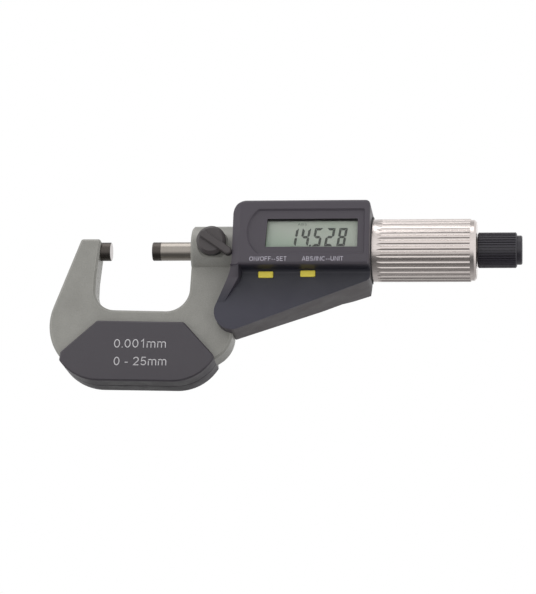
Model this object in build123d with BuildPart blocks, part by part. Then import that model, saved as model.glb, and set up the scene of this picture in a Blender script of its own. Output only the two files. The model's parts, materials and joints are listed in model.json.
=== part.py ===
from build123d import *
from math import cos, radians, sin
import os

# A digital outside micrometer, 0 to 25 mm. The origin is the centre of the anvil's
# measuring face. +X runs along the spindle, towards the thimble. The display faces -Y
# and +Z is up. Every length is in millimetres.

# ---- measuring line ----
READING = 14.528
MEASURING_R = 6.35 / 2
TIP_LENGTH = 3.0
THREAD_R = 3.05
RUNNING_FIT = 0.025
THREAD_FIT = 0.05
SMALL_EDGE = 0.15

# ---- frame ----
FRAME_T = 9.0
FRAME_EDGE = 0.75
ARM_TOP = 3.35
ARM_LEFT = -9.9
THROAT_LEFT = (2.8, -14.95, 7.0)
THROAT_RIGHT = (20.4, -14.35, 8.0)
FRAME_BOTTOM = -45.0
FRAME_RIGHT = 43.55
CORNER = (-1.3, -27.0, 18.0)
BOSS_R = 8.45
BOSS_X = (28.6, 68.0)
BOSS_EDGE = 0.6
ENCODER_BORE = (50.0, 6.9)
BUSH_R = 4.8
BUSH_END = 34.0
SPINDLE_ROOM_R = 3.4
ANVIL_TIP = -3.7
ANVIL_STEP = -4.0
ANVIL_ROOM = 0.06
ANVIL_SHANK = (-9.0, 2.4)

# ---- grip plates ----
PLATE_Y = 7.0
PLATE_TOP = (-26.4, -26.9)
PLATE_BOTTOM = (-47.3, -47.6)
PLATE_EDGE = 0.5
PLATE_SPLIT = 0.25

# ---- spindle lock ----
LOCK_X = 36.3
LOCK_CAP_R = 5.0
LOCK_BACK_R = 3.9
LOCK_FACE_R = 4.0
LOCK_Y = (-7.6, -10.9, -12.8, -13.7)
LOCK_SEAT_Y = -7.2
LOCK_LEVER_ANGLE = -34.5
LOCK_LEVER = (8.55, 4.5, 2.7)
LOCK_LEVER_Y = (-12.2, -14.7)
LOCK_STUD_R = 2.0
SHOE_R = 1.6
SHOE_GAP = 0.1
SHOE_BACK_Y = -3.9

# ---- housing ----
WALL = 1.3
HOUSING_LEFT = 43.7
HOUSING_RIGHT = 90.0
HOUSING_TOP = 13.3
TOP_LEFT_R = 4.6
DISPLAY_Y = -15.5
WING_Y = -9.8
STEP_Z = (-9.1, -9.7)
REAR_Y = 12.5
WING_REAR_Y = 6.5
REAR_SHOULDER_Z = (-8.5, -12.0)
LOBE = (43.95, -24.05, 6.18)
TAPER_TOP = -9.6
TAPER_FOOT = (38.32, -21.5)
TAPER_R = 18.0
SLOPE = 21.0
PART_Y = -4.5
WING_PART_Y = -8.9
PART_Z = -9.4
PART_GAP = 0.05
LEFT_BEVEL = (2.5, 1.7)
REAR_DRAFT = (1.5, 0.14)
SHAVE = (0.34, 0.2875)
HEEL_X = (62.0, HOUSING_RIGHT)
HEEL_FOOT_Z = (-12.2, -20.0)
THIMBLE_HOLE_R = 11.4
WIPER = (2.0, 0.3, 10.74)
BOSS_HOLE_R = 8.6

# ---- display and keys ----
RECESS_DEPTH = 0.7
RECESS_SLOPE = 0.6
APERTURE_X = (54.9, 55.5, 85.9)
APERTURE_Z = (-3.1, 6.75)
BEZEL_T = 0.7
WINDOW_T = 0.6
GLASS_T = 0.8
STRIP_T = 0.4
BOARD_T = 0.6
BUTTON = (5.0, 2.15)
BUTTON_PLACES = ((54.9, -11.35), (69.1, -11.05))
BUTTON_PROUD = 0.6
BUTTON_GAP = 0.1
BUTTON_FLANGE_Y = (-8.85, -8.2)
MAIN_BOARD_Y = (-6.6, -5.9)

# ---- battery ----
CELL = (51.5, -19.2, 5.8)
CELL_Y = (-1.15, 4.2)
CAP_R = 6.5
CAP_Y = (4.85, 6.35)
CAP_HOLE_R = 6.6
CAP_SEAT_Y = 4.3
POCKET_R = 5.95

# ---- fasteners ----
HOUSING_SCREWS = ((46.9, -26.4), (63.5, -17.5), (76.0, -14.3))
TOP_SCREW = (49.5, 10.55)
FRAME_SCREWS = ((41.3, -24.6), (41.6, -18.0))
SCREW_R = 0.95
SCREW_HEAD_R = 1.7

# ---- thimble and ratchet ----
THIMBLE_R = 10.63
THIMBLE_X = (79.0, 125.15)
THIMBLE_BORE = (114.0, 9.6)
BAND_X = 123.2
BAND_R = 10.3
BAND_EDGE = 0.7
FLUTES = 35
FLUTE_START = 1.3
FLUTE_X = (91.7, 123.1)
FLUTE_R = 0.75
FLUTE_LIFT = 0.37
FLUTE_LEAD = 1.8
SEAT_X = (112.0, 121.0)
SEAT_END_R = 2.6
RATCHET_RECESS = (122.0, 4.6)
KNOB_R = 6.0
KNOB_X = (125.45, 138.6)
KNOB_RIBS = 40
KNOB_GROOVE = (0.9, 0.44)
CAP_END_X = 140.4
CAP_END_R = 4.95
RATCHET_TEETH = 24

BASE = (Align.CENTER, Align.CENTER, Align.MIN)


def turned(x0, x1, radius, mode=Mode.ADD):
    """A cylinder about the spindle axis, in the part that calls it."""
    with Locations(Plane.YZ.offset(x0)):
        Cylinder(radius, x1 - x0, align=BASE, mode=mode)


def coned(x0, x1, r0, r1, mode=Mode.ADD):
    """A cone about the spindle axis, from radius r0 at x0 to r1 at x1."""
    with Locations(Plane.YZ.offset(x0)):
        Cone(r0, r1, x1 - x0, align=BASE, mode=mode)


def along_y(x, z, y0, y1, radius, mode=Mode.ADD):
    """A cylinder parallel to Y, in the part that calls it."""
    with Locations(Plane((x, y0, z), x_dir=(1, 0, 0), z_dir=(0, 1, 0))):
        Cylinder(radius, y1 - y0, align=BASE, mode=mode)


def block(x, y, z, mode=Mode.ADD):
    """A box given by its limits along each axis, in the part that calls it."""
    middle = ((x[0] + x[1]) / 2, (y[0] + y[1]) / 2, (z[0] + z[1]) / 2)
    with Locations(middle):
        Box(x[1] - x[0], y[1] - y[0], z[1] - z[0], mode=mode)


def save(builder, name):
    builder.part.label = name
    export_step(builder.part, f"parts/{name}.step")


os.makedirs("parts", exist_ok=True)

# ---- frame: a C of flat plate with a round boss for the spindle ----
arc_start = (-18.45, -21.1)
with BuildPart() as frame:
    with BuildSketch(Plane.XZ.offset(FRAME_T / 2)) as profile:
        with BuildLine():
            x, z, r = THROAT_LEFT
            Polyline((ARM_LEFT, ARM_TOP), (-3.1, ARM_TOP), (x - r, -11.0), (x - r, z))
            ThreePointArc((x - r, z), (x - r * cos(radians(45)), z - r * sin(radians(45))), (x, z - r))
            Line((x, z - r), (THROAT_RIGHT[0], THROAT_RIGHT[1] - THROAT_RIGHT[2]))
            x, z, r = THROAT_RIGHT
            ThreePointArc((x, z - r), (x + r * cos(radians(45)), z - r * sin(radians(45))), (x + r, z))
            Polyline((x + r, z), (28.8, 0), (FRAME_RIGHT, 0), (FRAME_RIGHT, -30.0))
            shoulder = TangentArc((FRAME_RIGHT, -30.0), (39.2, -38.35), tangent=(0, -1))
            TangentArc(shoulder @ 1, (26.0, FRAME_BOTTOM), tangent=shoulder % 1)
            x, z, r = CORNER
            Line((26.0, FRAME_BOTTOM), (x, FRAME_BOTTOM))
            ThreePointArc((x, FRAME_BOTTOM), (x - r * cos(radians(35)), z - r * sin(radians(35))), arc_start)
            Line(arc_start, (ARM_LEFT, ARM_TOP))
        make_face()
        fillet(profile.vertices().filter_by_position(Axis.Y, ARM_TOP - 0.1, ARM_TOP + 0.1), 1.0)
    extrude(amount=-FRAME_T)
    rim = frame.edges().filter_by(lambda e: abs(abs(e.center().Y) - FRAME_T / 2) < 0.01)
    rim = rim.filter_by(lambda e: e.center().X < 28.5 or e.center().Z < -29)
    chamfer(rim, FRAME_EDGE)
    coned(BOSS_X[0], BOSS_X[0] + BOSS_EDGE, BOSS_R - BOSS_EDGE, BOSS_R)
    turned(BOSS_X[0] + BOSS_EDGE, BOSS_X[1], BOSS_R)
    turned(BOSS_X[0] - 1, BUSH_END, BUSH_R, mode=Mode.SUBTRACT)
    turned(BUSH_END, ENCODER_BORE[0], SPINDLE_ROOM_R, mode=Mode.SUBTRACT)
    turned(ENCODER_BORE[0], BOSS_X[1] + 1, ENCODER_BORE[1], mode=Mode.SUBTRACT)
    turned(ANVIL_STEP, 0, MEASURING_R + ANVIL_ROOM, mode=Mode.SUBTRACT)
    turned(ANVIL_SHANK[0], ANVIL_STEP, ANVIL_SHANK[1], mode=Mode.SUBTRACT)
    along_y(LOCK_X, 0, LOCK_SEAT_Y - 2, LOCK_SEAT_Y, LOCK_CAP_R + 0.4, mode=Mode.SUBTRACT)
    along_y(LOCK_X, 0, LOCK_SEAT_Y - 1, SHOE_BACK_Y, LOCK_STUD_R + THREAD_FIT, mode=Mode.SUBTRACT)
    along_y(LOCK_X, 0, SHOE_BACK_Y, -2, SHOE_R + THREAD_FIT, mode=Mode.SUBTRACT)
    block((50.6, 53.4), (-1.5, 1.5), (-9, -6), mode=Mode.SUBTRACT)
    for x, z in FRAME_SCREWS:
        along_y(x, z, -FRAME_T / 2 - 1, FRAME_T / 2 + 1, SCREW_R + 0.1, mode=Mode.SUBTRACT)
        along_y(x, z, FRAME_T / 2 - 1.2, FRAME_T / 2 + 1, SCREW_HEAD_R + 0.1, mode=Mode.SUBTRACT)
save(frame, "frame")

# ---- anvil: a stepped pin pressed into the arm, with a hard tip ----
with BuildPart() as anvil:
    turned(ANVIL_SHANK[0], ANVIL_STEP, ANVIL_SHANK[1])
    turned(ANVIL_STEP, ANVIL_TIP, MEASURING_R)
save(anvil, "anvil")

with BuildPart() as anvil_tip:
    turned(ANVIL_TIP, -SMALL_EDGE, MEASURING_R)
    coned(-SMALL_EDGE, 0, MEASURING_R, MEASURING_R - SMALL_EDGE)
save(anvil_tip, "anvil_tip")

# ---- grip plates: two shells that wrap the bottom of the frame and meet at y = 0 ----
with BuildPart() as front_grip_plate:
    with BuildSketch(Plane.XZ.offset(PLATE_Y)) as plate:
        with BuildLine():
            Polyline((-14.8, -40.2), (-14.5, -37.4), (-2.5, PLATE_TOP[0]), (27.2, PLATE_TOP[1]))
            Polyline((27.2, PLATE_TOP[1]), (37.6, -38.2), (37.8, -39.8))
            bottom = Line((24.0, PLATE_BOTTOM[1]), (-1.0, PLATE_BOTTOM[0]))
            TangentArc(bottom @ 1, (-14.8, -40.2), tangent=bottom % 1)
            TangentArc(bottom @ 0, (37.8, -39.8), tangent=-(bottom % 0))
        make_face()
        fillet(plate.vertices().filter_by_position(Axis.Y, PLATE_TOP[1] - 0.1, PLATE_TOP[0] + 0.1), 1.5)
    extrude(amount=-PLATE_Y)
    chamfer(front_grip_plate.edges().filter_by_position(Axis.Y, -PLATE_Y, -PLATE_Y), PLATE_EDGE)
    chamfer(front_grip_plate.edges().filter_by_position(Axis.Y, -0.01, 0.01), PLATE_SPLIT)
    add(frame.part, mode=Mode.SUBTRACT)
save(front_grip_plate, "front_grip_plate")

with BuildPart() as rear_grip_plate:
    mirror(front_grip_plate.part, about=Plane.XZ)
save(rear_grip_plate, "rear_grip_plate")

# ---- spindle bush, pressed into the left end of the boss ----
with BuildPart() as spindle_bush:
    turned(BOSS_X[0] + 0.2, BUSH_END, BUSH_R)
    turned(BOSS_X[0], BUSH_END, MEASURING_R + RUNNING_FIT, mode=Mode.SUBTRACT)
save(spindle_bush, "spindle_bush")

# ---- spindle: ground front, thread, and a taper that holds the thimble ----
SPINDLE_STEP = 60.0
GROOVE_X = (44.5, 72.6)
GROOVE_Z = 2.4
KEY_W = 0.9
with BuildPart() as spindle:
    turned(READING + TIP_LENGTH, SPINDLE_STEP, MEASURING_R)
    turned(SPINDLE_STEP, SEAT_X[0], THREAD_R)
    coned(SEAT_X[0], SEAT_X[1], THREAD_R, SEAT_END_R)
    block(GROOVE_X, (-KEY_W / 2 - 0.05, KEY_W / 2 + 0.05), (GROOVE_Z, 4), mode=Mode.SUBTRACT)
    turned(SEAT_X[1] - 8, SEAT_X[1] + 1, 1.5, mode=Mode.SUBTRACT)
save(spindle, "spindle")

with BuildPart() as spindle_tip:
    coned(READING, READING + SMALL_EDGE, MEASURING_R - SMALL_EDGE, MEASURING_R)
    turned(READING + SMALL_EDGE, READING + TIP_LENGTH, MEASURING_R)
save(spindle_tip, "spindle_tip")

# ---- encoder: a fixed ring and a disc keyed to the spindle, inside the boss ----
with BuildPart() as encoder_stator:
    turned(50.6, 53.6, ENCODER_BORE[1])
    turned(50.6, 53.6, 3.7, mode=Mode.SUBTRACT)
save(encoder_stator, "encoder_stator")

with BuildPart() as encoder_rotor:
    turned(54.0, 55.2, 6.5)
    turned(55.2, 58.2, 4.6)
    turned(54.0, 58.2, MEASURING_R + RUNNING_FIT, mode=Mode.SUBTRACT)
    block((55.9, 57.5), (-KEY_W / 2, KEY_W / 2), (3.0, 5.0), mode=Mode.SUBTRACT)
save(encoder_rotor, "encoder_rotor")

with BuildPart() as rotor_key:
    block((55.9, 57.5), (-KEY_W / 2, KEY_W / 2), (GROOVE_Z + 0.1, 4.55))
save(rotor_key, "rotor_key")

with BuildPart() as encoder_washer:
    with BuildSketch(Plane.XY):
        Polygon((58.6, 3.8), (58.85, 3.8), (59.95, 5.8), (59.7, 5.8), align=None)
    revolve(axis=Axis.X)
save(encoder_washer, "encoder_washer")

# ---- inner sleeve: pressed into the boss, its right end is the spindle nut ----
SLEEVE_X = (60.2, 88.0)
SLEEVE_R = 8.3
NUT_X = 76.0
ADJUST_X = (80.0, 86.0)
ADJUST_R = (5.6, 7.4)
with BuildPart() as inner_sleeve:
    turned(SLEEVE_X[0], BOSS_X[1], ENCODER_BORE[1])
    turned(BOSS_X[1], ADJUST_X[0] - 1, SLEEVE_R)
    turned(ADJUST_X[0] - 1, SLEEVE_X[1], ADJUST_R[0])
    turned(SLEEVE_X[0], NUT_X, SPINDLE_ROOM_R + 0.2, mode=Mode.SUBTRACT)
    turned(NUT_X, SLEEVE_X[1], THREAD_R + THREAD_FIT, mode=Mode.SUBTRACT)
    for slot_z in ((-7, -2), (2, 7)):
        block((ADJUST_X[0] + 1, SLEEVE_X[1] + 1), (-0.25, 0.25), slot_z, mode=Mode.SUBTRACT)
save(inner_sleeve, "inner_sleeve")

with BuildPart() as adjusting_nut:
    turned(ADJUST_X[0], ADJUST_X[1], ADJUST_R[1])
    turned(ADJUST_X[0], ADJUST_X[1], ADJUST_R[0], mode=Mode.SUBTRACT)
    with Locations(Plane.YZ.offset(ADJUST_X[1])):
        with PolarLocations(ADJUST_R[1], 4):
            Box(1.6, 1.4, 2.4, mode=Mode.SUBTRACT)
save(adjusting_nut, "adjusting_nut")

# ---- thimble: fluted sleeve with a tapered seat on the spindle ----
with BuildPart() as thimble:
    turned(THIMBLE_X[0], BAND_X, THIMBLE_R)
    turned(BAND_X, THIMBLE_X[1] - BAND_EDGE, BAND_R)
    coned(THIMBLE_X[1] - BAND_EDGE, THIMBLE_X[1], BAND_R, BAND_R - BAND_EDGE)
    turned(THIMBLE_X[0] - 1, THIMBLE_BORE[0], THIMBLE_BORE[1], mode=Mode.SUBTRACT)
    coned(SEAT_X[0], SEAT_X[1], THREAD_R, SEAT_END_R, mode=Mode.SUBTRACT)
    turned(SEAT_X[0], THIMBLE_BORE[0], THREAD_R + 0.5, mode=Mode.SUBTRACT)
    turned(SEAT_X[1], THIMBLE_X[1] + 1, SEAT_END_R, mode=Mode.SUBTRACT)
    turned(RATCHET_RECESS[0], THIMBLE_X[1] + 1, RATCHET_RECESS[1], mode=Mode.SUBTRACT)
    with Locations(Plane.YZ.offset(FLUTE_X[0])):
        with PolarLocations(THIMBLE_R + FLUTE_LIFT, FLUTES, start_angle=FLUTE_START):
            Cone(FLUTE_LIFT, FLUTE_R, FLUTE_LEAD, align=BASE, mode=Mode.SUBTRACT)
    with Locations(Plane.YZ.offset(FLUTE_X[0] + FLUTE_LEAD)):
        with PolarLocations(THIMBLE_R + FLUTE_LIFT, FLUTES, start_angle=FLUTE_START):
            Cylinder(FLUTE_R, FLUTE_X[1] - FLUTE_X[0] - FLUTE_LEAD, align=BASE, mode=Mode.SUBTRACT)
save(thimble, "thimble")

# ---- ratchet stop ----
SHOULDER_R = 2.0
KNOB_WEB = (133.4, 135.0)
KNOB_ROOM_R = 4.5
WHEEL_X = (125.0, 127.0)
with BuildPart() as ratchet_screw:
    turned(SEAT_X[1] - 7.5, RATCHET_RECESS[0] + 0.2, 1.5)
    turned(RATCHET_RECESS[0] + 0.2, 124.6, RATCHET_RECESS[1] - 0.3)
    turned(124.6, KNOB_WEB[1] + 0.2, SHOULDER_R)
    turned(KNOB_WEB[1] - 5, KNOB_WEB[1] + 1, 0.9, mode=Mode.SUBTRACT)
save(ratchet_screw, "ratchet_screw")

with BuildPart() as ratchet_wheel:
    turned(WHEEL_X[0], WHEEL_X[1], 4.0)
    turned(WHEEL_X[0], WHEEL_X[1], SHOULDER_R, mode=Mode.SUBTRACT)
    with Locations(Plane.YZ.offset(WHEEL_X[1])):
        with PolarLocations(3.5, RATCHET_TEETH):
            Box(1.6, 0.5, 0.5, rotation=(45, 0, 0), mode=Mode.SUBTRACT)
save(ratchet_wheel, "ratchet_wheel")

with BuildPart() as ratchet_pawl:
    turned(WHEEL_X[1] + 0.12, 129.2, KNOB_ROOM_R - 0.02)
    with Locations(Plane.YZ.offset(WHEEL_X[1] + 0.12)):
        with PolarLocations(3.5, RATCHET_TEETH):
            Box(1.0, 0.42, 0.42, rotation=(45, 0, 0))
    turned(WHEEL_X[1] - 1, 129.3, SHOULDER_R + THREAD_FIT, mode=Mode.SUBTRACT)
save(ratchet_pawl, "ratchet_pawl")

SPRING_WIRE = 0.25
with BuildPart() as ratchet_spring:
    with BuildLine() as coil:
        Helix(1.25, 3.6, 3.2, center=(129.5, 0, 0), direction=(1, 0, 0))
    with BuildSketch(Plane(coil.line @ 0, z_dir=coil.line % 0)):
        Circle(SPRING_WIRE)
    sweep(is_frenet=True)
save(ratchet_spring, "ratchet_spring")

with BuildPart() as ratchet_knob:
    turned(KNOB_X[0] + 0.4, KNOB_X[1] - 0.4, KNOB_R)
    coned(KNOB_X[0], KNOB_X[0] + 0.4, KNOB_R - 0.4, KNOB_R)
    coned(KNOB_X[1] - 0.4, KNOB_X[1], KNOB_R, KNOB_R - 0.4)
    turned(KNOB_X[0], KNOB_WEB[0], KNOB_ROOM_R, mode=Mode.SUBTRACT)
    turned(KNOB_WEB[0], KNOB_WEB[1], SHOULDER_R + THREAD_FIT, mode=Mode.SUBTRACT)
    turned(KNOB_WEB[1], KNOB_X[1], KNOB_ROOM_R - 0.3, mode=Mode.SUBTRACT)
    with Locations(Plane.YZ.offset(KNOB_X[0] + 0.3)):
        with PolarLocations(KNOB_R + 0.05, KNOB_RIBS):
            Box(KNOB_GROOVE[0], KNOB_GROOVE[1], KNOB_X[1] - KNOB_X[0] - 0.6, align=BASE, mode=Mode.SUBTRACT)
save(ratchet_knob, "ratchet_knob")

with BuildPart() as ratchet_retainer:
    turned(KNOB_WEB[1] - 4, KNOB_WEB[1] + 0.2, 0.9)
    turned(KNOB_WEB[1] + 0.2, 136.4, 3.2)
    block((135.9, 137), (-0.4, 0.4), (-4, 4), mode=Mode.SUBTRACT)
save(ratchet_retainer, "ratchet_retainer")

with BuildPart() as ratchet_cap:
    turned(136.8, KNOB_X[1], KNOB_ROOM_R - 0.3)
    turned(KNOB_X[1], CAP_END_X - 0.35, CAP_END_R)
    coned(CAP_END_X - 0.35, CAP_END_X, CAP_END_R, CAP_END_R - 0.35)
save(ratchet_cap, "ratchet_cap")

# ---- spindle lock: a round knob with a lever bar, its screw and a brass shoe ----
with BuildPart() as lock_lever:
    with Locations(Plane((LOCK_X, LOCK_Y[0], 0), x_dir=(1, 0, 0), z_dir=(0, -1, 0))):
        Cone(LOCK_BACK_R, LOCK_CAP_R, LOCK_Y[0] - LOCK_Y[1], align=BASE)
    along_y(LOCK_X, 0, LOCK_Y[2], LOCK_Y[1], LOCK_CAP_R)
    with Locations(Plane((LOCK_X, LOCK_Y[2], 0), x_dir=(1, 0, 0), z_dir=(0, -1, 0))):
        Cone(LOCK_CAP_R, LOCK_FACE_R, LOCK_Y[2] - LOCK_Y[3], align=BASE)
    with BuildSketch(Plane((LOCK_X, LOCK_LEVER_Y[1], 0), x_dir=(1, 0, 0), z_dir=(0, -1, 0))):
        with Locations(Rotation(0, 0, LOCK_LEVER_ANGLE)):
            with Locations(((LOCK_LEVER[0] - LOCK_LEVER[1]) / 2, 0)):
                SlotOverall(LOCK_LEVER[0] + LOCK_LEVER[1], LOCK_LEVER[2])
    extrude(amount=LOCK_LEVER_Y[1] - LOCK_LEVER_Y[0])
    chamfer(lock_lever.edges().filter_by_position(Axis.Y, LOCK_LEVER_Y[1], LOCK_LEVER_Y[1]), 0.4)
    along_y(LOCK_X, 0, LOCK_Y[0] - 2.5, LOCK_Y[0], LOCK_STUD_R - 0.3, mode=Mode.SUBTRACT)
save(lock_lever, "lock_lever")

with BuildPart() as lock_screw:
    along_y(LOCK_X, 0, LOCK_Y[0] - 2.5, LOCK_Y[0], LOCK_STUD_R - 0.3)
    along_y(LOCK_X, 0, LOCK_Y[0], SHOE_BACK_Y - 0.1, LOCK_STUD_R)
save(lock_screw, "lock_screw")

with BuildPart() as lock_shoe:
    along_y(LOCK_X, 0, SHOE_BACK_Y, -MEASURING_R - SHOE_GAP, SHOE_R)
save(lock_shoe, "lock_shoe")

# ---- housing: the outer form and its cavity, each an outline cut by a side profile ----
SLOPE_RISE = (cos(radians(SLOPE)), sin(radians(SLOPE)))
lobe_foot = (LOBE[0] + LOBE[2] * SLOPE_RISE[1], LOBE[1] - LOBE[2] * SLOPE_RISE[0])
slope_end = (HOUSING_RIGHT, lobe_foot[1] + (HOUSING_RIGHT - lobe_foot[0]) * SLOPE_RISE[1] / SLOPE_RISE[0])


def outline(inset):
    """The housing seen from the front, with its walls moved in by inset."""
    with BuildSketch(Plane.XZ) as face:
        with BuildLine():
            Polyline(lobe_foot, slope_end, (HOUSING_RIGHT, HOUSING_TOP), (HOUSING_LEFT, HOUSING_TOP))
            Polyline((HOUSING_LEFT, HOUSING_TOP), (HOUSING_LEFT, TAPER_TOP), TAPER_FOOT)
            ThreePointArc(TAPER_FOOT, (LOBE[0] - LOBE[2], LOBE[1]), lobe_foot)
        make_face()
        top = face.vertices().sort_by(Axis.Y)[-2:].sort_by(Axis.X)
        fillet(top[0], TOP_LEFT_R)
        top = face.vertices().sort_by(Axis.Y)[-2:].sort_by(Axis.X)
        fillet(top[-1], 1.6)
        right = face.vertices().filter_by_position(Axis.X, HOUSING_RIGHT - 0.1, HOUSING_RIGHT + 0.1)
        fillet(right.sort_by(Axis.Y)[0], 2.2)
        fillet(face.vertices().filter_by_position(Axis.Y, TAPER_TOP - 0.01, TAPER_TOP + 0.01), TAPER_R)
        if inset:
            offset(amount=-inset, kind=Kind.INTERSECTION, mode=Mode.REPLACE)
    return face.sketch


def side_profile(inset):
    """The housing seen from the right, with its walls moved in by inset."""
    with BuildSketch(Plane.YZ) as side:
        with BuildLine():
            Polyline(
                (DISPLAY_Y, HOUSING_TOP),
                (REAR_Y, HOUSING_TOP),
                (REAR_Y, REAR_SHOULDER_Z[0]),
                (WING_REAR_Y, REAR_SHOULDER_Z[1]),
                (WING_REAR_Y, -40),
                (WING_Y, -40),
                (WING_Y, STEP_Z[1]),
                (DISPLAY_Y, STEP_Z[0]),
                close=True,
            )
        make_face()
        for z, radius in (
            (REAR_SHOULDER_Z[0], 4.0),
            (REAR_SHOULDER_Z[1], 2.0),
            (STEP_Z[1], 1.4),
        ):
            fillet(side.vertices().filter_by_position(Axis.Y, z - 0.01, z + 0.01), radius)
        fillet(side.vertices().group_by(Axis.Y)[-1].sort_by(Axis.X)[-1], 6.0)
        if inset:
            offset(amount=-inset, kind=Kind.INTERSECTION, mode=Mode.REPLACE)
    return side.sketch


def housing_form(inset):
    with BuildPart() as form:
        extrude(outline(inset), amount=20, both=True)
        extrude(side_profile(inset).moved(Location((30, 0, 0))), amount=70, mode=Mode.INTERSECT)
    return form.part


def leaning_end(x):
    """The plane of the right end, which leans in towards the rear."""
    return Plane((x, REAR_DRAFT[0], 0), z_dir=(-1, -REAR_DRAFT[1], 0))


# a ridge carries the left bevel of the display block down to the lobe, falling to the wing
with BuildPart() as ridge:
    for z, corners in (
        (-8.2, ((39.7, -9), (39.7, -11.1), (46.2, DISPLAY_Y), (47.4, -9))),
        (-12.95, ((39, -9), (39, -10.9), (46, -12.6), (46.8, -9))),
        (-20.8, ((36.5, -9), (36.5, WING_Y - 0.05), (41.2, WING_Y - 0.05), (41.3, -9))),
    ):
        with BuildSketch(Plane.XY.offset(z)):
            Polygon(*corners, align=None)
    loft(ruled=True)
    extrude(outline(0), amount=20, both=True, mode=Mode.INTERSECT)

# the rear shoulder reaches further down towards the right end, as a heel behind the thimble
with BuildPart() as heel:
    for x, foot in zip(HEEL_X, HEEL_FOOT_Z):
        with BuildSketch(Plane.YZ.offset(x)):
            Polygon(
                (WING_REAR_Y - 1, REAR_SHOULDER_Z[0]),
                (REAR_Y - 0.02, REAR_SHOULDER_Z[0]),
                (WING_REAR_Y - 0.02, foot),
                (WING_REAR_Y - 1, foot),
                align=None,
            )
    loft(ruled=True)
    extrude(outline(0), amount=20, both=True, mode=Mode.INTERSECT)

with BuildPart() as housing_outer:
    add(housing_form(0))
    front_rim = housing_outer.edges().filter_by_position(Axis.Y, DISPLAY_Y - 0.01, DISPLAY_Y + 0.01)
    fillet(front_rim, 1.0)
    add(heel.part)
    # the right end leans in towards the rear, and the rear lower edge is shaved away at the lobe
    split(bisect_by=leaning_end(HOUSING_RIGHT), keep=Keep.TOP)
    split(bisect_by=Plane((46, 2.5, -29.85), z_dir=(-SHAVE[0], -SHAVE[1], 1)), keep=Keep.TOP)
    with BuildSketch(Plane.XY.offset(STEP_Z[0])):
        Polygon(
            (HOUSING_LEFT - 2, DISPLAY_Y - 2),
            (HOUSING_LEFT + LEFT_BEVEL[0], DISPLAY_Y - 2),
            (HOUSING_LEFT + LEFT_BEVEL[0], DISPLAY_Y),
            (HOUSING_LEFT, DISPLAY_Y + LEFT_BEVEL[1]),
            (HOUSING_LEFT - 2, DISPLAY_Y + 2 * LEFT_BEVEL[1]),
            align=None,
        )
    extrude(amount=HOUSING_TOP - STEP_Z[0] + 1, mode=Mode.SUBTRACT)
    add(ridge.part)

with BuildPart() as inner_form:
    add(housing_form(WALL))
    split(bisect_by=leaning_end(HOUSING_RIGHT - WALL), keep=Keep.TOP)
housing_inner = inner_form.part

RIM = HOUSING_LEFT + WALL
FAR = 60


def through_holes():
    """The round openings for the boss on the left and the thimble on the right."""
    turned(30, RIM + 1, BOSS_HOLE_R, mode=Mode.SUBTRACT)
    turned(HOUSING_RIGHT - 4, HOUSING_RIGHT + 1, THIMBLE_HOLE_R, mode=Mode.SUBTRACT)


# the shallow panel round the display, with a curved left end and sloping sides
with BuildPart() as panel_cut:
    with BuildSketch(Plane.XZ.offset(-DISPLAY_Y)) as panel:
        with BuildLine():
            Polyline((52.6, 10.1), (88.4, 10.1), (88.4, -5.9), (52.6, -5.9))
            ThreePointArc((52.6, -5.9), (48.6, 2.1), (52.6, 10.1))
        make_face()
        fillet(panel.vertices().sort_by(Axis.X)[-2:], 0.8)
        fillet(panel.vertices().filter_by_position(Axis.X, 52.5, 52.7), 1.2)
    extrude(amount=-RECESS_DEPTH)
    floor_y = DISPLAY_Y + RECESS_DEPTH
    chamfer(panel_cut.edges().filter_by_position(Axis.Y, floor_y - 0.01, floor_y + 0.01), RECESS_SLOPE)

with BuildPart() as front_housing:
    add(housing_outer.part)
    add(housing_inner, mode=Mode.SUBTRACT)
    block((0, 120), (PART_Y, FAR), (-FAR, FAR), mode=Mode.SUBTRACT)
    block((HOUSING_LEFT, 120), (WING_PART_Y, FAR), (-FAR, PART_Z), mode=Mode.SUBTRACT)
    through_holes()
    block((54.0, 87.4), (DISPLAY_Y + WALL, DISPLAY_Y + WALL + BEZEL_T), (-4.6, 8.8))
    add(panel_cut.part, mode=Mode.SUBTRACT)
    with BuildSketch(Plane.XZ.offset(-DISPLAY_Y)) as opening:
        Polygon(
            (APERTURE_X[0], APERTURE_Z[0]),
            (APERTURE_X[2], APERTURE_Z[0]),
            (APERTURE_X[2], APERTURE_Z[1]),
            (APERTURE_X[1], APERTURE_Z[1]),
            align=None,
        )
        fillet(opening.vertices(), 0.3)
    extrude(amount=-3, mode=Mode.SUBTRACT)
    for x, z in BUTTON_PLACES:
        with BuildSketch(Plane.XZ.offset(-WING_Y + 1)):
            with Locations((x, z)):
                RectangleRounded(BUTTON[0] + 2 * BUTTON_GAP, BUTTON[1] + 2 * BUTTON_GAP, 0.45)
        extrude(amount=-3, mode=Mode.SUBTRACT)
    for x, z in HOUSING_SCREWS:
        along_y(x, z, WING_PART_Y, -2.0, 1.4)
        along_y(x, z, WING_PART_Y + 0.6, -1.0, SCREW_R, mode=Mode.SUBTRACT)
    along_y(TOP_SCREW[0], TOP_SCREW[1], DISPLAY_Y + WALL, PART_Y, 1.4)
    along_y(TOP_SCREW[0], TOP_SCREW[1], DISPLAY_Y + WALL + 2, PART_Y + 1, SCREW_R, mode=Mode.SUBTRACT)
    for x, z in FRAME_SCREWS:
        along_y(x, z, WING_Y + 1, PART_Y, 1.6)
        along_y(x, z, WING_Y + 1.6, PART_Y + 1, SCREW_R, mode=Mode.SUBTRACT)
save(front_housing, "front_housing")

with BuildPart() as rear_cavity:
    add(housing_inner)
    extrude(outline(WALL).moved(Location((0, WING_Y + WALL + 0.5, 0))), amount=3)
    block((0, RIM), (-FAR, FAR), (-FAR, FAR), mode=Mode.SUBTRACT)

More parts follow.
